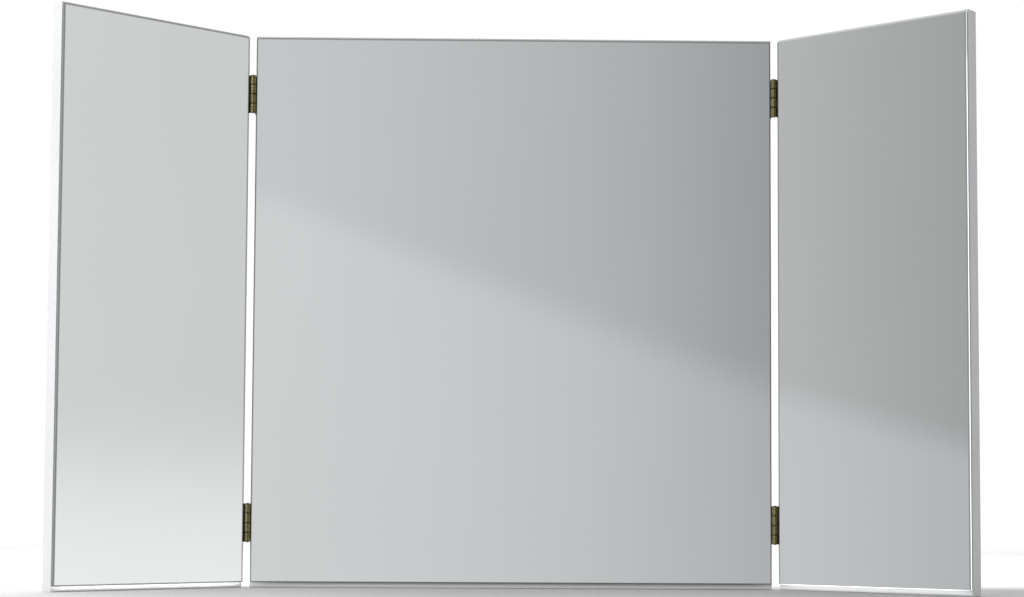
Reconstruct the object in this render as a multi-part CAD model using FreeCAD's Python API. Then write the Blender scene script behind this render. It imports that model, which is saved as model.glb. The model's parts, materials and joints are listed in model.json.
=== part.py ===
import FreeCAD, Part
import math
import os

# A three-panel table mirror. A wide centre panel stands upright and a narrow wing is
# hinged to each side of it. Every panel is a lacquered board with an edge band glued
# round it and a mirror glass taped to its front. Two brass butt hinges join each wing
# to the centre, with their barrels standing just in front of the glass.
#
# All lengths are in millimetres and all angles in degrees. +Z is up and the glass
# faces -Y. The origin is the middle of the centre board's underside.

# Panels
PANEL_HEIGHT = 554.0
CENTRE_WIDTH = 520.0
FOLDED_WINGS_GAP = 96.0        # between the two wings' outer edges when both are folded shut
BOARD_GAP = 4.6                # between neighbouring boards when the panels lie flat
BOARD_THICKNESS = 16.0
BAND_THICKNESS = 1.0
BAND_ROUNDING = 0.6            # radius on the two long outer edges of a band

# Angle between each wing and the centre panel's plane as the mirror stands
REST_ANGLE = 41.0

# Mirror glass and the foam tape that holds it
GLASS_THICKNESS = 3.0
GLASS_FRONT_ARRIS = 1.0
GLASS_BACK_ARRIS = 0.4
SIDE_MARGIN = 0.5              # board left showing beside the glass
TOP_MARGIN = 2.0
BOTTOM_MARGIN = 5.0
TAPE_THICKNESS = 1.0
TAPE_WIDTH = 19.0
TAPE_END_INSET = 30.0          # from the glass's top and bottom edge to the tape's ends
TAPE_SIDE_INSET = 24.0         # from the glass's side to the middle of the outermost tape
CENTRE_TAPE_COUNT = 5
WING_TAPE_COUNT = 3

# Butt hinges
HINGE_HEIGHT = 38.0
UPPER_HINGE_FROM_TOP = 60.0    # panel's top edge to the middle of the hinge
LOWER_HINGE_FROM_BOTTOM = 64.0
LEAF_THICKNESS = 1.0
LEAF_REACH = 17.0              # from the pin's axis to the leaf's far edge
BARREL_DIAMETER = 5.6
PIN_DIAMETER = 2.6
PIN_PROUD = 0.5                # how far each domed pin end stands past the barrel
PIN_END_ROUNDING = 0.45
KNUCKLE_COUNT = 4              # the even ones belong to the centre leaf, from the top down
KNUCKLE_END_CLEARANCE = 0.2
KNUCKLE_SIDE_CLEARANCE = 0.3
PIN_FIXED_CLEARANCE = 0.01     # radial, in the centre leaf's knuckles
PIN_RUNNING_CLEARANCE = 0.06   # radial, in the wing leaf's knuckles
ROLL_SEAM = 0.15               # slit where the rolled knuckle comes back to its leaf
BARREL_GLASS_CLEARANCE = 0.5   # from the barrel to the nearest corner of the glass
LEAST_FOLD_GAP = 3.0           # between the two glass faces when a wing is folded shut

# Countersunk screws, two in each leaf
SCREW_HEAD_DIAMETER = 4.8
SCREW_SHANK_DIAMETER = 2.8
SCREW_LENGTH = 14.0
SCREW_TIP_LENGTH = 3.5
SCREW_END_DISTANCE = 8.5       # hinge's end to the nearer screw
SCREW_CLEARANCE = 0.08
RECESS_SPAN = 2.7              # cross recess in the head
RECESS_SLOT = 0.7
RECESS_DEPTH = 1.1

# Worked out from the sizes above
WING_WIDTH = (CENTRE_WIDTH - FOLDED_WINGS_GAP) / 2.0
HALF_GAP = BOARD_GAP / 2.0
BARREL_RADIUS = BARREL_DIAMETER / 2.0
PIN_RADIUS = PIN_DIAMETER / 2.0
BOARD_FRONT = -BOARD_THICKNESS / 2.0
GLASS_BACK = BOARD_FRONT - TAPE_THICKNESS
GLASS_FRONT = GLASS_BACK - GLASS_THICKNESS
GLASS_HEIGHT = PANEL_HEIGHT - TOP_MARGIN - BOTTOM_MARGIN
UPPER_HINGE_Z = PANEL_HEIGHT - UPPER_HINGE_FROM_TOP
LOWER_HINGE_Z = LOWER_HINGE_FROM_BOTTOM
HINGE_X = CENTRE_WIDTH / 2.0 + HALF_GAP


def hinge_stand_off():
    """Distance from the glass's front plane forward to the pin's axis."""
    reach = BARREL_RADIUS + BARREL_GLASS_CLEARANCE
    sideways = HALF_GAP + SIDE_MARGIN
    for_barrel = math.sqrt(max(reach ** 2 - sideways ** 2, 0.0))
    return max(for_barrel, LEAST_FOLD_GAP / 2.0)


HINGE_Y = GLASS_FRONT - hinge_stand_off()
SCREW_Y = (BOARD_FRONT + HINGE_Y + LEAF_REACH) / 2.0 - HINGE_Y


def box(x_low, x_high, y_low, y_high, z_low, z_high):
    corner = FreeCAD.Vector(x_low, y_low, z_low)
    return Part.makeBox(x_high - x_low, y_high - y_low, z_high - z_low, corner)


def upright_cylinder(radius, z_low, z_high):
    foot = FreeCAD.Vector(0, 0, z_low)
    return Part.makeCylinder(radius, z_high - z_low, foot, FreeCAD.Vector(0, 0, 1))


def edges_where(shape, test):
    return [edge for edge in shape.Edges if test(edge.BoundBox)]


def rounded_band(x_low, x_high, z_low, z_high, outer_side):
    """One glued strip, with its two long outer edges rounded."""
    strip = box(x_low, x_high, -BOARD_THICKNESS / 2.0, BOARD_THICKNESS / 2.0, z_low, z_high)
    length = max(x_high - x_low, z_high - z_low)
    place = {
        "left": lambda b: max(abs(b.XMin - x_low), abs(b.XMax - x_low)),
        "right": lambda b: max(abs(b.XMin - x_high), abs(b.XMax - x_high)),
        "bottom": lambda b: max(abs(b.ZMin - z_low), abs(b.ZMax - z_low)),
        "top": lambda b: max(abs(b.ZMin - z_high), abs(b.ZMax - z_high)),
    }[outer_side]
    outer = edges_where(strip, lambda b: place(b) < 1e-4 and abs(b.DiagonalLength - length) < 1e-4)
    return strip.makeFillet(BAND_ROUNDING, outer)


def edge_bands(x_left, x_right):
    """The four strips: the upright ones run the full height, the others lie between them."""
    inner_left = x_left + BAND_THICKNESS
    inner_right = x_right - BAND_THICKNESS
    inner_top = PANEL_HEIGHT - BAND_THICKNESS
    return {
        "left": rounded_band(x_left, inner_left, 0.0, PANEL_HEIGHT, "left"),
        "right": rounded_band(inner_right, x_right, 0.0, PANEL_HEIGHT, "right"),
        "bottom": rounded_band(inner_left, inner_right, 0.0, BAND_THICKNESS, "bottom"),
        "top": rounded_band(inner_left, inner_right, inner_top, PANEL_HEIGHT, "top"),
    }


def board_core(x_left, x_right):
    return box(
        x_left + BAND_THICKNESS,
        x_right - BAND_THICKNESS,
        -BOARD_THICKNESS / 2.0,
        BOARD_THICKNESS / 2.0,
        BAND_THICKNESS,
        PANEL_HEIGHT - BAND_THICKNESS,
    )


def mirror_glass(x_left, x_right):
    """A flat pane with a ground arris round its front and a smaller one round its back."""
    z_low = BOTTOM_MARGIN
    pane = box(x_left, x_right, GLASS_FRONT, GLASS_BACK, z_low, z_low + GLASS_HEIGHT)
    front = edges_where(pane, lambda b: b.YMax < GLASS_FRONT + 1e-4)
    pane = pane.makeChamfer(GLASS_FRONT_ARRIS, front)
    back = edges_where(pane, lambda b: b.YMin > GLASS_BACK - 1e-4)
    return pane.makeChamfer(GLASS_BACK_ARRIS, back)


def mounting_tape(x_left, x_right, count):
    """Upright foam strips between the board and the glass, evenly spaced."""
    first = x_left + TAPE_SIDE_INSET
    last = x_right - TAPE_SIDE_INSET
    z_low = BOTTOM_MARGIN + TAPE_END_INSET
    z_high = BOTTOM_MARGIN + GLASS_HEIGHT - TAPE_END_INSET
    strips = []
    for index in range(count):
        middle = first + (last - first) * index / (count - 1)
        x_low = middle - TAPE_WIDTH / 2.0
        strips.append(box(x_low, x_low + TAPE_WIDTH, GLASS_BACK, BOARD_FRONT, z_low, z_high))
    return Part.makeCompound(strips)


def make_panel(x_left, x_right, tape_count):
    """Every piece of one panel, upright and facing -Y."""
    pieces = {"board": board_core(x_left, x_right)}
    for side, strip in edge_bands(x_left, x_right).items():
        pieces[side + "_edge_band"] = strip
    glass_left = x_left + SIDE_MARGIN
    glass_right = x_right - SIDE_MARGIN
    pieces["glass"] = mirror_glass(glass_left, glass_right)
    pieces["mounting_tape"] = mounting_tape(glass_left, glass_right, tape_count)
    return pieces


def knuckle_span(index):
    """Lowest and highest z of one knuckle, counted from the top of the hinge."""
    pitch = (HINGE_HEIGHT + KNUCKLE_END_CLEARANCE) / KNUCKLE_COUNT
    z_high = HINGE_HEIGHT / 2.0 - index * pitch
    return z_high - pitch + KNUCKLE_END_CLEARANCE, z_high


def hinge_leaf(side, owned, pin_clearance):
    """A leaf about its pin's axis at x = y = 0; side is the sign of x that it lies on."""
    outer_face = side * HALF_GAP
    inner_face = side * (HALF_GAP - LEAF_THICKNESS)
    x_low, x_high = sorted((outer_face, inner_face))
    half_height = HINGE_HEIGHT / 2.0
    leaf = box(x_low, x_high, 0.0, LEAF_REACH, -half_height, half_height)
    for index in range(KNUCKLE_COUNT):
        z_low, z_high = knuckle_span(index)
        if index in owned:
            leaf = leaf.fuse(upright_cylinder(BARREL_RADIUS, z_low, z_high))
        else:
            room = upright_cylinder(
                BARREL_RADIUS + KNUCKLE_SIDE_CLEARANCE,
                z_low - KNUCKLE_END_CLEARANCE,
                z_high + KNUCKLE_END_CLEARANCE,
            )
            leaf = leaf.cut(room)
    seam_low, seam_high = sorted((inner_face, inner_face - side * ROLL_SEAM))
    leaf = leaf.cut(box(seam_low, seam_high, 0.0, BARREL_RADIUS, -half_height, half_height))
    leaf = leaf.cut(upright_cylinder(PIN_RADIUS + pin_clearance, -half_height, half_height))
    return leaf.removeSplitter()


def hinge_pin():
    half_length = HINGE_HEIGHT / 2.0 + PIN_PROUD
    pin = upright_cylinder(PIN_RADIUS, -half_length, half_length)
    rims = edges_where(pin, lambda b: b.ZMax - b.ZMin < 1e-4)
    return pin.makeFillet(PIN_END_ROUNDING, rims)


def turned(outline, side, x_start, y, z):
    """Spin an outline of (depth, radius) points about a line along x, pointing to side."""
    points = [FreeCAD.Vector(x_start + side * depth, y + radius, z) for depth, radius in outline]
    face = Part.Face(Part.makePolygon(points + points[:1]))
    return face.revolve(FreeCAD.Vector(x_start, y, z), FreeCAD.Vector(1, 0, 0), 360)


def screw_head_depth():
    return (SCREW_HEAD_DIAMETER - SCREW_SHANK_DIAMETER) / 2.0


def screw_places():
    """Heights of a leaf's two screws from the middle of the hinge."""
    offset = HINGE_HEIGHT / 2.0 - SCREW_END_DISTANCE
    return (-offset, offset)


def leaf_screw(side, z):
    """A countersunk screw whose head lies flush with the leaf's inner face."""
    head_radius = SCREW_HEAD_DIAMETER / 2.0
    shank_radius = SCREW_SHANK_DIAMETER / 2.0
    outline = [
        (0.0, 0.0),
        (0.0, head_radius),
        (screw_head_depth(), shank_radius),
        (SCREW_LENGTH - SCREW_TIP_LENGTH, shank_radius),
        (SCREW_LENGTH, 0.0),
    ]
    face_x = side * (HALF_GAP - LEAF_THICKNESS)
    screw = turned(outline, side, face_x, SCREW_Y, z)
    half_span = RECESS_SPAN / 2.0
    half_slot = RECESS_SLOT / 2.0
    x_low, x_high = sorted((face_x, face_x + side * RECESS_DEPTH))
    for half_y, half_z in ((half_span, half_slot), (half_slot, half_span)):
        slot = box(x_low, x_high, SCREW_Y - half_y, SCREW_Y + half_y, z - half_z, z + half_z)
        screw = screw.cut(slot)
    return screw


def screw_hole(side, z):
    """The space that one screw needs in its leaf, in the edge band and in the board."""
    head_radius = SCREW_HEAD_DIAMETER / 2.0 + SCREW_CLEARANCE
    shank_radius = SCREW_SHANK_DIAMETER / 2.0 + SCREW_CLEARANCE
    outline = [
        (-HALF_GAP, 0.0),
        (-HALF_GAP, head_radius),
        (0.0, head_radius),
        (screw_head_depth(), shank_radius),
        (SCREW_LENGTH - SCREW_TIP_LENGTH, shank_radius),
        (SCREW_LENGTH + SCREW_CLEARANCE, 0.0),
    ]
    return turned(outline, side, side * (HALF_GAP - LEAF_THICKNESS), SCREW_Y, z)


def moved(shape, x, y, z):
    result = shape.copy()
    result.translate(FreeCAD.Vector(x, y, z))
    return result


def make_leaf_set(side, owned, pin_clearance, hinge_x, hinge_z):
    """One leaf with its screws, and the holes that the screws need, at the hinge's place."""
    leaf = hinge_leaf(side, owned, pin_clearance)
    screws = []
    holes = []
    for z in screw_places():
        hole = screw_hole(side, z)
        leaf = leaf.cut(hole)
        screws.append(moved(leaf_screw(side, z), hinge_x, HINGE_Y, hinge_z))
        holes.append(moved(hole, hinge_x, HINGE_Y, hinge_z))
    return moved(leaf, hinge_x, HINGE_Y, hinge_z), Part.makeCompound(screws), holes


def drill(panel, band, holes):
    """Cut the screw holes into a panel's edge band and board."""
    for hole in holes:
        panel[band] = panel[band].cut(hole)
        panel["board"] = panel["board"].cut(hole)


def swing(pieces, hinge_x, angle):
    """Turn a wing's pieces about its pin; a positive angle is anticlockwise from above."""
    pivot = FreeCAD.Vector(hinge_x, HINGE_Y, 0.0)
    return {
        name: shape.rotated(pivot, FreeCAD.Vector(0, 0, 1), angle)
        for name, shape in pieces.items()
    }


def build():
    half_centre = CENTRE_WIDTH / 2.0
    wing_start = half_centre + BOARD_GAP
    wing_end = wing_start + WING_WIDTH
    centre = make_panel(-half_centre, half_centre, CENTRE_TAPE_COUNT)
    wings = {
        "left": make_panel(-wing_end, -wing_start, WING_TAPE_COUNT),
        "right": make_panel(wing_start, wing_end, WING_TAPE_COUNT),
    }
    centre_knuckles = range(0, KNUCKLE_COUNT, 2)
    wing_knuckles = range(1, KNUCKLE_COUNT, 2)
    nodes = {}
    for name, wing_side in (("left", -1), ("right", 1)):
        hinge_x = wing_side * HINGE_X
        wing = wings[name]
        facing_band = {-1: "right_edge_band", 1: "left_edge_band"}[wing_side]
        centre_band = {-1: "left_edge_band", 1: "right_edge_band"}[wing_side]
        swinging = {}
        for level, hinge_z in (("upper", UPPER_HINGE_Z), ("lower", LOWER_HINGE_Z)):
            prefix = name + "_" + level + "_hinge_"
            leaf, screws, holes = make_leaf_set(
                -wing_side, centre_knuckles, PIN_FIXED_CLEARANCE, hinge_x, hinge_z
            )
            drill(centre, centre_band, holes)
            nodes[prefix + "centre_leaf"] = leaf
            nodes[prefix + "centre_screws"] = screws
            nodes[prefix + "pin"] = moved(hinge_pin(), hinge_x, HINGE_Y, hinge_z)
            leaf, screws, holes = make_leaf_set(
                wing_side, wing_knuckles, PIN_RUNNING_CLEARANCE, hinge_x, hinge_z
            )
            drill(wing, facing_band, holes)
            swinging[prefix + "wing_leaf"] = leaf
            swinging[prefix + "wing_screws"] = screws
        for piece, shape in wing.items():
            swinging[name + "_wing_" + piece] = shape
        nodes.update(swing(swinging, hinge_x, -wing_side * REST_ANGLE))
    for piece, shape in centre.items():
        nodes["centre_" + piece] = shape
    return nodes


os.makedirs("parts", exist_ok=True)
for node, shape in build().items():
    shape.exportStep("parts/" + node + ".step")
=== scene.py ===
import json
import math

import bmesh
import bpy
from mathutils import Matrix, Vector


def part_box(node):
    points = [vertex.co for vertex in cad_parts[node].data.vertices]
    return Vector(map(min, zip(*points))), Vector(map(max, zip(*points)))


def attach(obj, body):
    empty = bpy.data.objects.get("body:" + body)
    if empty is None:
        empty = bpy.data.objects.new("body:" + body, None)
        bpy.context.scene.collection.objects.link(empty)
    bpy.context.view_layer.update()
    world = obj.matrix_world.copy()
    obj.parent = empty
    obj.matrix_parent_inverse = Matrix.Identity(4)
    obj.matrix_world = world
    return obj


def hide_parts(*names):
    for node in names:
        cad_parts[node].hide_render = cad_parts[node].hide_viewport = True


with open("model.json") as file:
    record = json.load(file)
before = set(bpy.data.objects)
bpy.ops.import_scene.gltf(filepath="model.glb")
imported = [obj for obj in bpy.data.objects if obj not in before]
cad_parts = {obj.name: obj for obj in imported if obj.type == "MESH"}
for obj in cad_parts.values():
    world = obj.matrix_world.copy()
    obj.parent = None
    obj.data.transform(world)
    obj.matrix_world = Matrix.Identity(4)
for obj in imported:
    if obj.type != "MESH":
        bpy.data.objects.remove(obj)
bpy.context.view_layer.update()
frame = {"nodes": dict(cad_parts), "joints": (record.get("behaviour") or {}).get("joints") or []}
scene = bpy.context.scene
nodes = frame["nodes"]
joints = {joint["child"]: joint for joint in frame["joints"]}
MM = 0.001

# Glass panes
PANES = {"centre": "centre_glass", "left_wing": "left_wing_glass", "right_wing": "right_wing_glass"}
ARRIS = 1.0 * MM               # ground chamfer round the front
BACK_ARRIS = 0.4 * MM
PANE_CORNER = 0.9 * MM         # corner radii: of the pane's side, of the back face,
BACK_CORNER = 0.6 * MM
FRONT_CORNER = 0.3 * MM        # of the front face, and of its clear part inside the rim
CLEAR_CORNER = 0.2 * MM
CORNER_STEPS = 4

# How far the ground edge shows through the face as a dark rim: left, right, bottom, top.
RIMS = {
    "centre": (0.5 * MM, 0.5 * MM, 0.3 * MM, 0.8 * MM),
    "left_wing": (0.2 * MM, 1.5 * MM, 0.5 * MM, 0.8 * MM),
    "right_wing": (0.9 * MM, 0.2 * MM, 0.3 * MM, 0.8 * MM),
}

# Hinges
KNUCKLE_COUNT = 4
KNUCKLE_GAP = 0.2 * MM
WORN_EDGE = 0.12 * MM
# A ring of painted shade in each knuckle gap: its clearance to the pin, width, thickness and steps round.
GAP_SHADE_TO_PIN = 0.02 * MM
GAP_SHADE_WIDTH = 1.25 * MM
GAP_SHADE_THICKNESS = 0.6 * KNUCKLE_GAP
GAP_SHADE_STEPS = 32


def leaf_top(hinge):
    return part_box(hinge + "_centre_leaf")[1].z


hinge_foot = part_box("left_upper_hinge_centre_leaf")[0].z
KNUCKLE_PITCH = (leaf_top("left_upper_hinge") - hinge_foot + KNUCKLE_GAP) / KNUCKLE_COUNT


# ---------------------------------------------------------------- node helpers

class Tree:
    """Short names for building one node tree."""

    def __init__(self, tree):
        self.tree = tree
        tree.nodes.clear()

    def add(self, kind, **settings):
        node = self.tree.nodes.new(kind)
        for name, value in settings.items():
            setattr(node, name, value)
        return node

    def put(self, socket, value):
        if isinstance(value, bpy.types.NodeSocket):
            self.tree.links.new(value, socket)
        else:
            socket.default_value = value

    def maths(self, operation, a, b=0.0, c=0.0):
        node = self.add("ShaderNodeMath", operation=operation)
        for socket, value in zip(node.inputs, (a, b, c)):
            self.put(socket, value)
        return node.outputs[0]

    def parts(self, vector):
        node = self.add("ShaderNodeSeparateXYZ")
        self.put(node.inputs[0], vector)
        return node.outputs

    def ramp(self, value, low, high, to_low=0.0, to_high=1.0):
        node = self.add("ShaderNodeMapRange", interpolation_type="SMOOTHSTEP")
        for socket, v in zip(node.inputs, (value, low, high, to_low, to_high)):
            self.put(socket, v)
        return node.outputs[0]

    def mix(self, factor, a, b, blend="MIX"):
        """Two colours mixed by a factor. The node's colours are its inputs 6 and 7, and output 2."""
        node = self.add("ShaderNodeMix", data_type="RGBA", blend_type=blend)
        for place, value in ((0, factor), (6, a), (7, b)):
            self.put(node.inputs[place], value)
        return node.outputs[2]

    def stops(self, value, points):
        node = self.add("ShaderNodeValToRGB")
        band = node.color_ramp
        while len(band.elements) < len(points):
            band.elements.new(0.5)
        for element, (place, colour) in zip(band.elements, points):
            element.position = place
            element.color = (*colour, 1.0)
        self.put(node.inputs[0], value)
        return node.outputs[0]

    def noise(self, vector, scale, detail=4.0, roughness=0.5, distortion=0.0):
        node = self.add("ShaderNodeTexNoise")
        self.put(node.inputs["Vector"], vector)
        self.put(node.inputs["Scale"], scale)
        self.put(node.inputs["Detail"], detail)
        self.put(node.inputs["Roughness"], roughness)
        self.put(node.inputs["Distortion"], distortion)
        return node.outputs[0]

    def bump(self, height, distance, strength=1.0, normal=None):
        node = self.add("ShaderNodeBump")
        self.put(node.inputs["Strength"], strength)
        self.put(node.inputs["Distance"], distance)
        self.put(node.inputs["Height"], height)
        if normal is not None:
            self.put(node.inputs["Normal"], normal)
        return node.outputs[0]

    def stretched(self, vector, scale, rotation=(0.0, 0.0, 0.0)):
        node = self.add("ShaderNodeMapping")
        self.put(node.inputs["Vector"], vector)
        self.put(node.inputs["Rotation"], rotation)
        self.put(node.inputs["Scale"], scale)
        return node.outputs[0]


def grey(value):
    return (value, value, value, 1)


def srgb(level):
    """Linear value of a display level from 0 to 255."""
    v = level / 255.0
    return v / 12.92 if v <= 0.04045 else ((v + 0.055) / 1.055) ** 2.4


def material(name, build):
    """A Principled material whose sockets are set or fed by build(tree, principled, coordinates)."""
    mat = bpy.data.materials.new(name)
    mat.use_nodes = True
    t = Tree(mat.node_tree)
    out = t.add("ShaderNodeOutputMaterial")
    principled = t.add("ShaderNodeBsdfPrincipled")
    t.put(out.inputs[0], principled.outputs[0])
    where = t.add("ShaderNodeTexCoord").outputs["Object"]
    build(t, principled, where)
    return mat


# ------------------------------------------------------------------- materials

def white_melamine(t, p, where):
    """White melamine face: a fine pressed pearl texture, slight clouding, handling marks."""
    cloud = t.noise(where, 9.0, 3.0)
    fine = t.noise(where, 1400.0, 2.0, 0.6)
    pearl = t.noise(where, 420.0, 3.0, 0.55)
    colour = t.mix(t.ramp(cloud, 0.35, 0.65), (0.735, 0.735, 0.73, 1), (0.755, 0.755, 0.753, 1))
    t.put(p.inputs["Base Color"], colour)
    t.put(p.inputs["Roughness"], t.ramp(t.noise(where, 24.0, 5.0), 0.3, 0.7, 0.40, 0.52))
    lump = t.bump(pearl, 0.06 * MM, 0.5)
    t.put(p.inputs["Normal"], t.bump(fine, 0.02 * MM, 0.4, lump))


def edge_band(t, p, where):
    """Extruded white edge band, very slightly cooler than the board, drawn along its length."""
    drawn = t.noise(t.stretched(where, (900.0, 900.0, 14.0)), 1.0, 3.0)
    cloud = t.noise(where, 12.0, 3.0)
    colour = t.mix(t.ramp(cloud, 0.35, 0.65), (0.655, 0.655, 0.667, 1), (0.68, 0.68, 0.691, 1))
    t.put(p.inputs["Base Color"], colour)
    t.put(p.inputs["Roughness"], t.ramp(drawn, 0.3, 0.7, 0.34, 0.46))
    t.put(p.inputs["Normal"], t.bump(drawn, 0.03 * MM, 0.4))


def silvered(t, p, where):
    """The mirror's face: silver behind clear glass, with faint wiping marks."""
    wiped = t.noise(t.stretched(where, (7.0, 7.0, 2.0), (0.0, 0.5, 0.0)), 1.0, 5.0, 0.55, 0.6)
    cloud = t.noise(where, 4.0, 2.0)
    colour = t.mix(t.ramp(cloud, 0.35, 0.65), (0.875, 0.885, 0.88, 1), (0.885, 0.895, 0.892, 1))
    t.put(p.inputs["Base Color"], colour)
    t.put(p.inputs["Metallic"], 1.0)
    t.put(p.inputs["Roughness"], t.ramp(wiped, 0.35, 0.75, 0.012, 0.035))


def ground_arris(t, p, where):
    """The ground chamfer round the glass: dark over the silver's edge, with fine grinding marks."""
    marks = t.noise(where, 2600.0, 3.0, 0.7)
    colour = t.mix(t.ramp(marks, 0.3, 0.7), (0.12, 0.132, 0.128, 1), (0.21, 0.225, 0.22, 1))
    t.put(p.inputs["Base Color"], colour)
    t.put(p.inputs["Roughness"], t.ramp(marks, 0.3, 0.7, 0.35, 0.6))
    t.put(p.inputs["Normal"], t.bump(marks, 0.02 * MM, 0.6))


def ground_glass(dark, light):
    """Ground glass between two tones, with grinding marks."""
    def build(t, p, where):
        marks = t.noise(where, 2200.0, 3.0, 0.7)
        t.put(p.inputs["Base Color"], t.mix(t.ramp(marks, 0.3, 0.7), dark, light))
        t.put(p.inputs["Roughness"], t.ramp(marks, 0.3, 0.7, 0.25, 0.45))
        t.put(p.inputs["Normal"], t.bump(marks, 0.02 * MM, 0.5))
    return build


def polished_side(t, p, where):
    """A side that was polished after grinding, so it gleams along its length."""
    marks = t.noise(where, 2200.0, 3.0, 0.7)
    colour = t.mix(t.ramp(marks, 0.3, 0.7), (0.93, 0.96, 0.95, 1), (0.98, 0.99, 0.99, 1))
    t.put(p.inputs["Base Color"], colour)
    t.put(p.inputs["Metallic"], 1.0)
    t.put(p.inputs["Roughness"], t.ramp(marks, 0.3, 0.7, 0.06, 0.14))


def silver_edge(t, p, where):
    """The rim of the face, where the dark ground edge shows through the glass."""
    marks = t.noise(where, 900.0, 3.0, 0.6)
    t.put(p.inputs["Base Color"], t.mix(marks, (0.40, 0.42, 0.41, 1), (0.56, 0.58, 0.57, 1)))
    t.put(p.inputs["Metallic"], 1.0)
    t.put(p.inputs["Roughness"], t.ramp(marks, 0.3, 0.7, 0.10, 0.22))


def backing_paint(t, p, where):
    """Grey paint over the silver on the glass's back."""
    cloud = t.noise(where, 60.0, 4.0)
    colour = t.mix(t.ramp(cloud, 0.35, 0.65), (0.22, 0.24, 0.25, 1), (0.27, 0.29, 0.30, 1))
    t.put(p.inputs["Base Color"], colour)
    t.put(p.inputs["Roughness"], t.ramp(cloud, 0.3, 0.7, 0.5, 0.65))
    t.put(p.inputs["Normal"], t.bump(cloud, 0.05 * MM, 0.3))


def foam(t, p, where):
    """Closed-cell foam tape."""
    cells = t.add("ShaderNodeTexVoronoi", feature="F1")
    t.put(cells.inputs["Vector"], where)
    t.put(cells.inputs["Scale"], 2600.0)
    depth = cells.outputs["Distance"]
    t.put(p.inputs["Base Color"], t.mix(depth, (0.46, 0.46, 0.45, 1), (0.66, 0.66, 0.64, 1)))
    t.put(p.inputs["Roughness"], t.ramp(depth, 0.0, 1.0, 0.8, 0.95))
    t.put(p.inputs["Normal"], t.bump(depth, 0.1 * MM, 0.6))


def aged_brass(dark, light, tarnish, low, high, hinge_top=None):
    """Brass that has dulled: brown tarnish in small patches and, on a leaf, painted shade where its knuckles
    meet.
    """
    def build(t, p, where):
        patch = t.noise(where, 420.0, 5.0, 0.6, 0.4)
        grain = t.noise(t.stretched(where, (4000.0, 4000.0, 500.0)), 1.0, 3.0)
        spots = t.noise(where, 1100.0, 3.0, 0.6)
        metal = t.mix(t.ramp(grain, 0.3, 0.7), dark, light)
        aged = t.mix(t.ramp(patch, 0.40, 0.68, 0.0, 0.7), metal, tarnish)
        # Painted shade: a leaf turns nearly black next to each gap between its knuckles.
        if hinge_top is not None:
            down = t.maths("SUBTRACT", hinge_top + KNUCKLE_GAP / 2.0, t.parts(where)[2])
            from_gap = t.maths("PINGPONG", down, KNUCKLE_PITCH / 2.0)
            gap_shade = t.ramp(from_gap, 0.2 * MM, 1.1 * MM, 0.9, 0.0)
            aged = t.mix(gap_shade, aged, (0.035, 0.028, 0.014, 1))
        t.put(p.inputs["Base Color"], aged)
        t.put(p.inputs["Metallic"], 1.0)
        t.put(p.inputs["Roughness"], t.ramp(spots, 0.3, 0.7, low, high))
        pitted = t.bump(spots, 0.04 * MM, 0.4)
        t.put(p.inputs["Normal"], t.bump(grain, 0.01 * MM, 0.4, pitted))
    return build


def joint_dirt(t, p, where):
    """Nearly black painted shade, with fine grains."""
    grains = t.noise(where, 3000.0, 3.0, 0.7)
    t.put(p.inputs["Base Color"], t.mix(grains, (0.02, 0.017, 0.010, 1), (0.05, 0.042, 0.026, 1)))
    t.put(p.inputs["Roughness"], t.ramp(grains, 0.3, 0.7, 0.5, 0.8))
    t.put(p.inputs["Normal"], t.bump(grains, 0.02 * MM, 0.5))


def leaf_brass(level):
    return material("hinge_brass_" + level, aged_brass(
        (0.22, 0.195, 0.085, 1), (0.36, 0.32, 0.15, 1), (0.11, 0.080, 0.034, 1), 0.28, 0.44,
        leaf_top("left_" + level + "_hinge")))


MATERIALS = {
    "board": material("white_melamine", white_melamine),
    "band": material("edge_band", edge_band),
    "foam": material("foam_tape", foam),
    "upper": leaf_brass("upper"),
    "lower": leaf_brass("lower"),
    "pin": material("pin_brass", aged_brass(
        (0.30, 0.25, 0.11, 1), (0.46, 0.38, 0.18, 1), (0.14, 0.10, 0.045, 1), 0.24, 0.40)),
    "screw": material("screw_brass", aged_brass(
        (0.42, 0.33, 0.14, 1), (0.60, 0.48, 0.22, 1), (0.20, 0.14, 0.06, 1), 0.22, 0.38)),
}

# A pane's finishes, in the order of its material slots.
PANE_MATERIALS = {
    "silver": material("silvered_face", silvered),
    "rim": material("silver_edge", silver_edge),
    "arris": material("ground_arris", ground_arris),
    "side": material("ground_side", ground_glass((0.16, 0.18, 0.17, 1), (0.25, 0.28, 0.265, 1))),
    "paint": material("backing_paint", backing_paint),
    "gleam": material("polished_side", polished_side),
    # pale and half are lighter copies of the arris: painted light.
    "pale": material("painted_light_arris", ground_glass((0.74, 0.78, 0.77, 1), (0.86, 0.89, 0.88, 1))),
    "half": material("painted_half_light_arris", ground_glass((0.36, 0.38, 0.375, 1), (0.50, 0.53, 0.52, 1))),
    # shade is a darker copy of the arris: painted shade.
    "shade": material("painted_shade_arris", ground_glass((0.035, 0.04, 0.038, 1), (0.065, 0.07, 0.068, 1))),
}
PANE_KEYS = list(PANE_MATERIALS)

ENDINGS = {
    "_board": "board",
    "_edge_band": "band",
    "_mounting_tape": "foam",
    "upper_hinge_centre_leaf": "upper",
    "upper_hinge_wing_leaf": "upper",
    "lower_hinge_centre_leaf": "lower",
    "lower_hinge_wing_leaf": "lower",
    "_pin": "pin",
    "_screws": "screw",
}


def dress_cad_pieces():
    for node, obj in nodes.items():
        for ending, key in ENDINGS.items():
            if node.endswith(ending):
                obj.data.materials.clear()
                obj.data.materials.append(MATERIALS[key])
        if node.endswith(("_leaf", "_screws")):
            bevel = obj.modifiers.new("worn_edges", "BEVEL")
            bevel.width = WORN_EDGE
            bevel.segments = 2
            bevel.limit_method = "ANGLE"
            bevel.angle_limit = math.radians(40.0)


dress_cad_pieces()


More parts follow.
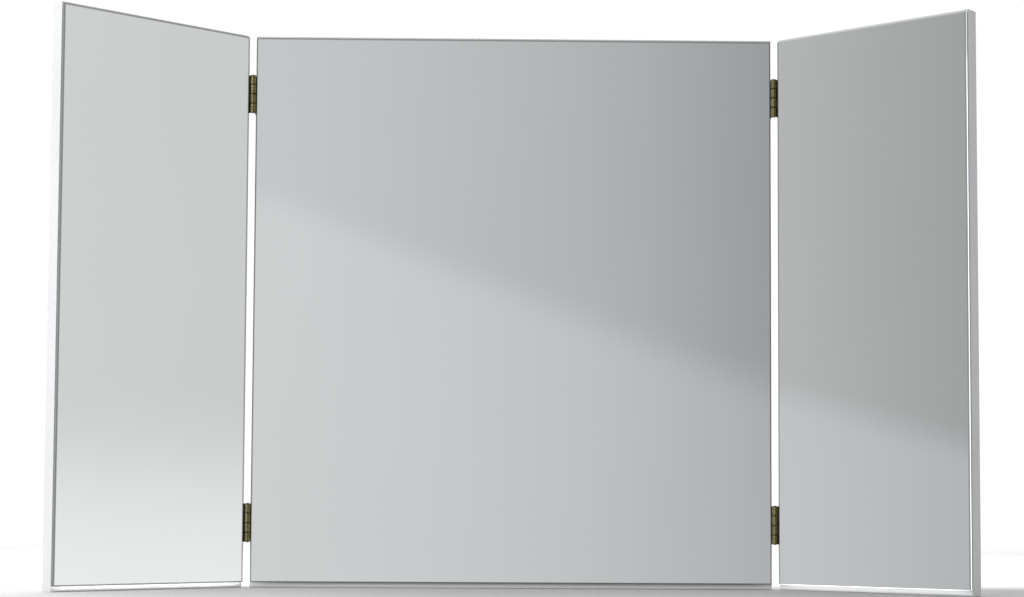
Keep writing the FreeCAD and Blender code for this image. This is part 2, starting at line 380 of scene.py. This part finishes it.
def add_object(name, bm, materials):
    """An object in the scene from a finished bmesh, which is freed."""
    mesh = bpy.data.meshes.new(name)
    bm.to_mesh(mesh)
    bm.free()
    for mat in materials:
        mesh.materials.append(mat)
    obj = bpy.data.objects.new(name, mesh)
    scene.collection.objects.link(obj)
    return obj


def bridge(bm, near, far):
    """The faces between two closed loops that have as many points, in order."""
    next_near, next_far = near[1:] + near[:1], far[1:] + far[:1]
    return [bm.faces.new(corners) for corners in zip(near, next_near, next_far, far)]


# ---------------------------------------------------------------- mirror panes

def flat_pose(body):
    """The matrix that turns a wing from rest until it lies flat beside the centre."""
    if body not in joints:
        return Matrix.Identity(4)
    joint = joints[body]
    pivot = Matrix.Translation(Vector(joint["pos_m"]))
    angle = math.radians(joint["range_deg"][0])
    return pivot @ Matrix.Rotation(angle, 4, Vector(joint["axis"])) @ pivot.inverted()


def outline(low, high, insets, radius):
    """A rectangle in x and z with rounded corners, as points going round once."""
    left, right, bottom, top = insets
    x0, x1 = low.x + left + radius, high.x - right - radius
    z0, z1 = low.z + bottom + radius, high.z - top - radius
    points = []
    for cx, cz, start in ((x1, z1, 0), (x0, z1, 90), (x0, z0, 180), (x1, z0, 270)):
        for step in range(CORNER_STEPS + 1):
            a = math.radians(start + 90.0 * step / CORNER_STEPS)
            points.append((cx + radius * math.cos(a), cz + radius * math.sin(a)))
    return points


def ring_finish(body, ring, middle, low, high):
    """The finish of one face in a ring: 0 the rim, 1 the front arris, 2 the side, 3 the back arris. Lighter
    and darker copies of the arris on some wing faces are painted light and painted shade.
    """
    at_foot = middle.z < low.z + ARRIS
    # Painted shade: the left wing's front arris at the foot takes the darker copy.
    if body == "left_wing" and ring == 1 and at_foot:
        return "shade"
    # Painted light: the right wing's top rim and arris, its outer front arris and its front arris at the foot
    # take lighter copies of the arris.
    if body == "right_wing":
        if ring < 2 and middle.z > high.z - ARRIS - RIMS[body][3]:
            return "half"
        if ring == 1 and at_foot:
            return "pale"
        if ring > 0 and middle.x > high.x - ARRIS:
            return "half" if ring == 1 else "gleam"
    return ("rim", "arris", "side", "arris")[ring]


def make_pane(body, node):
    """The pane of one panel, built flat and then turned to where the CAD pane is."""
    to_flat = flat_pose(body)
    corners = [to_flat @ vertex.co for vertex in nodes[node].data.vertices]
    low = Vector([min(corner[i] for corner in corners) for i in range(3)])
    high = Vector([max(corner[i] for corner in corners) for i in range(3)])
    bm = bmesh.new()
    rings = []
    for y, insets, radius in (
        (low.y, [ARRIS + width for width in RIMS[body]], CLEAR_CORNER),
        (low.y, [ARRIS] * 4, FRONT_CORNER),
        (low.y + ARRIS, [0.0] * 4, PANE_CORNER),
        (high.y - BACK_ARRIS, [0.0] * 4, PANE_CORNER),
        (high.y, [BACK_ARRIS] * 4, BACK_CORNER),
    ):
        rings.append([bm.verts.new((x, y, z)) for x, z in outline(low, high, insets, radius)])
    bm.faces.new(rings[0]).material_index = PANE_KEYS.index("silver")
    for ring, (near, far) in enumerate(zip(rings, rings[1:])):
        for face in bridge(bm, near, far):
            finish = ring_finish(body, ring, face.calc_center_median(), low, high)
            face.material_index = PANE_KEYS.index(finish)
    bm.faces.new(rings[-1]).material_index = PANE_KEYS.index("paint")
    bmesh.ops.recalc_face_normals(bm, faces=bm.faces)
    bm.transform(to_flat.inverted())
    pane = add_object(body + "_mirror_pane", bm, PANE_MATERIALS.values())
    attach(pane, body)
    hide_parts(node)


for body, node in PANES.items():
    make_pane(body, node)


# ------------------------------------------------------- painted shade between knuckles

def make_gap_shade(hinge, mat):
    """A thin ring of painted shade in each gap between two of the hinge's knuckles, a dark sheet where light
    would show through.
    """
    first = leaf_top(hinge) + KNUCKLE_GAP / 2.0
    pin_low, pin_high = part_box(hinge + "_pin")
    axis = (pin_low + pin_high) / 2.0
    inner = (pin_high.x - pin_low.x) / 2.0 + GAP_SHADE_TO_PIN
    outer = inner + GAP_SHADE_WIDTH
    half = GAP_SHADE_THICKNESS / 2.0
    turns = [math.tau * step / GAP_SHADE_STEPS for step in range(GAP_SHADE_STEPS)]
    bm = bmesh.new()
    for knuckle in range(1, KNUCKLE_COUNT):
        middle = first - knuckle * KNUCKLE_PITCH
        loops = []
        for radius, z in ((inner, middle - half), (outer, middle - half),
                          (outer, middle + half), (inner, middle + half)):
            loops.append([bm.verts.new((axis.x + radius * math.cos(a), axis.y + radius * math.sin(a), z))
                          for a in turns])
        for near, far in zip(loops, loops[1:] + loops[:1]):
            bridge(bm, near, far)
    bmesh.ops.recalc_face_normals(bm, faces=bm.faces)
    gap_shade = add_object(hinge + "_dirt", bm, [mat])
    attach(gap_shade, "centre")


# Painted shade: a nearly black ring in each knuckle gap.
gap_shade_material = material("joint_dirt", joint_dirt)
for side in ("left", "right"):
    for level in ("upper", "lower"):
        make_gap_shade(side + "_" + level + "_hinge", gap_shade_material)


# ----------------------------------------------------------------- stage floor

FLOOR_FRONT, FLOOR_BACK, FLOOR_SIDE = -0.95, 2.4, 2.0
FADE_FRONT, FADE_BACK, FADE_SIDE = -0.45, 1.4, 1.2     # where the floor starts to fade out
FLOOR_DROP = 0.2 * MM


def floor_material():
    """Pale matt floor with painted light and shade: grey in front, painted lighter on the left and darker on
    the right, painted white at the back, fading out all round.
    """
    mat = bpy.data.materials.new("pale_floor_painted_light")
    mat.use_nodes = True
    t = Tree(mat.node_tree)
    out = t.add("ShaderNodeOutputMaterial")
    p = t.add("ShaderNodeBsdfPrincipled")
    where = t.add("ShaderNodeTexCoord").outputs["Object"]
    x, y, _ = t.parts(where)
    tone = t.mix(t.noise(where, 3.0, 3.0), grey(0.53), grey(0.56))
    # Painted light on the left, a painted shadow on the right, and painted light that makes the floor white
    # at the back.
    tone = t.mix(t.ramp(x, 0.0, -0.5), tone, grey(0.76))
    tone = t.mix(t.ramp(x, 0.1, 0.6), tone, grey(0.44))
    tone = t.mix(t.ramp(y, -0.02, 0.16), tone, grey(0.98))
    t.put(p.inputs["Base Color"], tone)
    t.put(p.inputs["Roughness"], 0.9)
    t.put(p.inputs["Specular IOR Level"], 0.1)
    ahead = t.ramp(y, FADE_FRONT, FLOOR_FRONT)
    behind = t.ramp(y, FADE_BACK, FLOOR_BACK)
    sideways = t.ramp(t.maths("ABSOLUTE", x), FADE_SIDE, FLOOR_SIDE)
    faded = t.add("ShaderNodeMixShader")
    t.put(faded.inputs[0], t.maths("MAXIMUM", ahead, t.maths("MAXIMUM", sideways, behind)))
    t.put(faded.inputs[1], p.outputs[0])
    t.put(faded.inputs[2], t.add("ShaderNodeBsdfTransparent").outputs[0])
    t.put(out.inputs[0], faded.outputs[0])
    return mat


def make_floor():
    bm = bmesh.new()
    corners = ((-FLOOR_SIDE, FLOOR_FRONT), (FLOOR_SIDE, FLOOR_FRONT),
               (FLOOR_SIDE, FLOOR_BACK), (-FLOOR_SIDE, FLOOR_BACK))
    bm.faces.new([bm.verts.new((x, y, 0.0)) for x, y in corners])
    floor = add_object("studio_floor", bm, [floor_material()])
    floor.location.z = -FLOOR_DROP
    floor.visible_glossy = False


make_floor()


# ---------------------------------------------------------------- surroundings

SILVER = 0.885                 # how much of its surroundings' light the glass gives back
WHITE = (1.02, 1.02, 1.02)
WHITE_FROM = 125               # azimuth in degrees, on both sides, from which all is white

# The soft studio that the glasses mirror. Azimuth in degrees from -Y towards +X, then the display level and
# the blue tint that show in a glass above the slanting boundary, then the same below it.
STUDIO = (
    (-84.0, 188, 2, 200, 2),
    (-74.0, 180, 2, 194, 3),
    (-68.5, 158, 2, 177, 4),
    (-45.0, 170, 2, 185, 2),
    (-20.0, 196, 2, 206, 2),
    (-6.2, 197, 3, 206, 2),
    (-1.0, 187, 3, 199, 3),
    (3.3, 176, 3, 190, 3),
    (7.8, 155, 4, 173, 6),
    (14.0, 118, 2, 126, 2),
    (52.0, 106, 2, 114, 2),
    (64.0, 200, 2, 204, 2),
    (70.0, 206, 1, 208, 2),
    (76.0, 202, 1, 205, 2),
    (84.0, 205, 2, 207, 2),
)

# The slanting boundary's height, as rise over run, and its softness, by azimuth in degrees.
BOUNDARY = ((-180, 0.03), (-75, 0.061), (-68, 0.026), (-30, 0.15), (-6.2, 0.1505), (7.8, 0.0575),
            (30, 0.02), (180, 0.02))
SOFTNESS = ((-180, 0.016), (-6.2, 0.010), (7.8, 0.017), (180, 0.02))


def seen(level, blue):
    """The surroundings' colour that shows in a glass as about that display level."""
    return tuple(srgb(level + shift) / SILVER for shift in (0.0, blue * 0.5, blue))


def by_azimuth(t, turn, points):
    """A colour that changes with the azimuth, from points of degrees and colour."""
    return t.stops(turn, [(degrees / 360.0 + 0.5, colour) for degrees, colour in points])


def studio_half(t, turn, first):
    """The studio above the boundary (first column 1) or below it (first column 3), white at the back."""
    greys = [(row[0], seen(*row[first:first + 2])) for row in STUDIO]
    white_left = [(-180, WHITE), (-WHITE_FROM, WHITE)]
    white_right = [(WHITE_FROM, WHITE), (180, WHITE)]
    return by_azimuth(t, turn, white_left + greys + white_right)


def build_world():
    world = bpy.data.worlds.new("studio")
    scene.world = world
    world.use_nodes = True
    t = Tree(world.node_tree)
    out = t.add("ShaderNodeOutputWorld")
    background = t.add("ShaderNodeBackground")
    t.put(out.inputs[0], background.outputs[0])
    x, y, z = t.parts(t.add("ShaderNodeTexCoord").outputs["Generated"])
    azimuth = t.maths("ARCTAN2", x, t.maths("MULTIPLY", y, -1.0))
    turn = t.maths("MULTIPLY_ADD", azimuth, 1.0 / math.tau, 0.5)
    run_squared = t.maths("SUBTRACT", 1.0, t.maths("MULTIPLY", z, z))
    run = t.maths("SQRT", t.maths("MAXIMUM", run_squared, 1e-6))
    rise = t.maths("DIVIDE", z, run)

    edge = by_azimuth(t, turn, [(degrees, (value,) * 3) for degrees, value in BOUNDARY])
    soft = by_azimuth(t, turn, [(degrees, (value,) * 3) for degrees, value in SOFTNESS])
    below = t.maths("DIVIDE", t.maths("SUBTRACT", edge, rise), soft)
    tone = t.mix(t.ramp(below, -1.0, 1.0), studio_half(t, turn, 1), studio_half(t, turn, 3))

    # A glow low on the right, which brightens the left wing's glass towards its foot.
    on_right = t.maths("MULTIPLY", t.ramp(azimuth, math.radians(40), math.radians(65)),
                       t.ramp(azimuth, math.radians(95), math.radians(82)))
    glow = t.maths("MULTIPLY", on_right, t.ramp(rise, 0.063, -0.042, 0.0, 0.225))
    lit = t.mix(1.0, tone, t.mix(glow, grey(0), grey(1)), "ADD")

    overhead = t.ramp(z, 0.34, 0.95)
    t.put(background.inputs["Color"], t.mix(overhead, lit, grey(0.55)))
    t.put(background.inputs["Strength"], 1.0)


build_world()


# ---------------------------------------------------------------------- lights

FOOT_LIGHT_DEPTH = 14 * MM
FOOT_LIGHT_AHEAD = 13 * MM     # from the glass to the strip's middle
FOOT_LIGHT_RISE = 0.6 * MM
FOOT_LIGHT_SHARE = 0.96        # of the glass's width


def softbox(name, place, target, width, height, power, glossy=False, diffuse=True):
    """An area lamp that the camera doesn't see. With glossy alone it only puts highlights on shiny edges."""
    light = bpy.data.lights.new(name, "AREA")
    light.shape = "RECTANGLE"
    light.size = width
    light.size_y = height
    light.energy = power
    obj = bpy.data.objects.new(name, light)
    obj.location = place
    obj.rotation_euler = (Vector(target) - Vector(place)).to_track_quat("-Z", "Y").to_euler()
    obj.visible_camera = False
    obj.visible_glossy = glossy
    obj.visible_diffuse = diffuse
    scene.collection.objects.link(obj)
    return obj


def foot_light(node, power):
    """A low strip of light in front of a wing's foot, as a white table top would throw up."""
    low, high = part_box(node)
    outer_x, inner_x = sorted((low.x, high.x), key=abs, reverse=True)
    along = Vector((outer_x - inner_x, low.y - high.y, 0.0))
    length = along.length
    along.normalize()
    front = Vector((-along.y, along.x, 0.0))
    if front.y > 0:
        front = -front
    foot = Vector(((inner_x + outer_x) / 2.0, (low.y + high.y) / 2.0, FOOT_LIGHT_RISE))
    place = foot + front * FOOT_LIGHT_AHEAD
    lamp = softbox(node + "_foot_light", place, place, FOOT_LIGHT_SHARE * length, FOOT_LIGHT_DEPTH, power)
    lamp.rotation_euler = (math.pi, 0.0, math.atan2(along.y, along.x))


softbox("overhead_softbox", (0.0, 0.6, 2.1), (0.0, 0.3, 0.0), 2.0, 2.0, 32.0)
softbox("window_softbox", (-1.6, -1.3, 0.9), (0.0, -0.1, 0.0), 1.0, 1.0, 24.0)
softbox("edge_highlight", (1.93, 0.38, 0.30), (0.42, -0.15, 0.27), 0.3, 1.1, 0.8, glossy=True, diffuse=False)
softbox("metal_highlight", (-1.15, -1.65, 0.55), (0.0, 0.0, 0.27), 0.35, 1.2, 4.0, glossy=True, diffuse=False)
foot_light("left_wing_glass", 0.11)
foot_light("right_wing_glass", 0.048)


# ---------------------------------------------------------------------- camera

CAMERA_PLACE = (-0.0302, -2.0868, 0.080)
CAMERA_YAW, CAMERA_PITCH, CAMERA_ROLL = (math.radians(degrees) for degrees in (0.824, 3.787, 0.309))


def make_camera():
    camera = bpy.data.cameras.new("camera")
    camera.sensor_width = 36.0
    camera.lens = 73.108
    camera.shift_y = 0.07
    camera.clip_start, camera.clip_end = 0.05, 50.0
    obj = bpy.data.objects.new("camera", camera)
    scene.collection.objects.link(obj)
    right = Vector((math.cos(CAMERA_YAW), -math.sin(CAMERA_YAW), 0.0))
    run = math.cos(CAMERA_PITCH)
    ahead = Vector((math.sin(CAMERA_YAW) * run, math.cos(CAMERA_YAW) * run, math.sin(CAMERA_PITCH)))
    turned = Matrix((right, right.cross(ahead), -ahead)).transposed()
    turned = turned @ Matrix.Rotation(CAMERA_ROLL, 3, "Z")
    obj.matrix_world = Matrix.Translation(CAMERA_PLACE) @ turned.to_4x4()
    scene.camera = obj


make_camera()
scene.view_settings.view_transform = "Standard"
